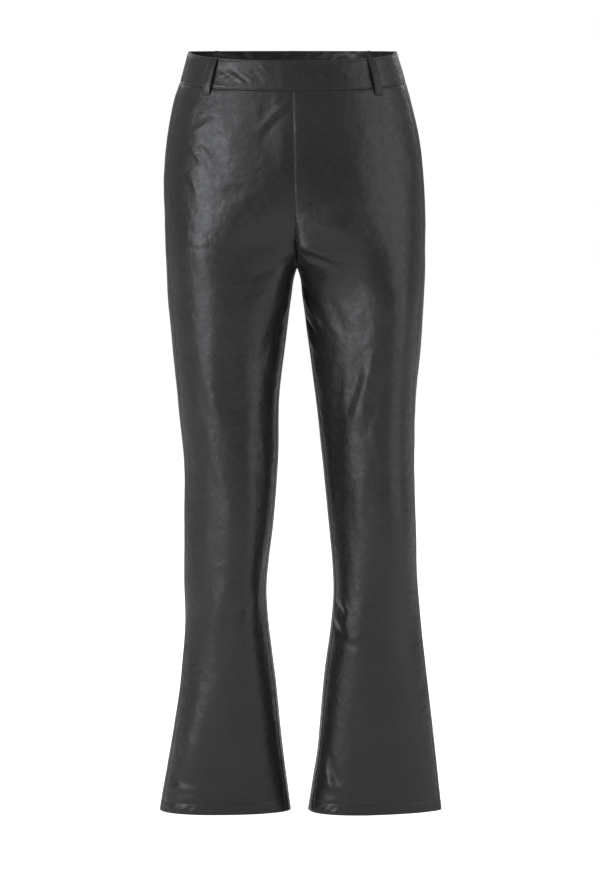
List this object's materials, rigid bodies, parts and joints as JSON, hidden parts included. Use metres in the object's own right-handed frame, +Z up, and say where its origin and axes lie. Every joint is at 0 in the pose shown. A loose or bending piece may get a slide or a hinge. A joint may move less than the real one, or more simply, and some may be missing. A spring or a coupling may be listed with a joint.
{
  "type": "faux leather trousers",
  "caption": "Hollow worn-form faux leather trousers, slim at hip and thigh and flared below the knee, with a plain front, straight waistband and belt loops.",
  "frame": {"origin": "centre of the waist opening, level with its sides", "axes": "+Z up along the garment's length, -Y towards the front, -X towards the wearer's right leg"},
  "size_m": [0.3893, 0.2528, 1.0584],
  "materials": {
    "faux_leather": "semi-gloss, fine grain, dark charcoal",
    "facing": "satin, crinkled, near black",
    "backing": "matte knitted backing of the coated cloth, near black",
    "thread": "matte sewing thread, near black"
  },
  "bodies": {
    "root": {"front_right": "faux_leather", "front_left": "faux_leather", "back_right": "faux_leather", "back_left": "faux_leather", "waistband_front": "faux_leather", "waistband_back": "faux_leather", "waistband_back_facing": "facing", "hem_turn_up_right": "facing", "hem_turn_up_left": "facing", "belt_loop_front_right": "faux_leather", "belt_loop_front_left": "faux_leather", "belt_loop_back_right": "faux_leather", "belt_loop_back_centre": "faux_leather", "belt_loop_back_left": "faux_leather"}
  },
  "joints": []
}
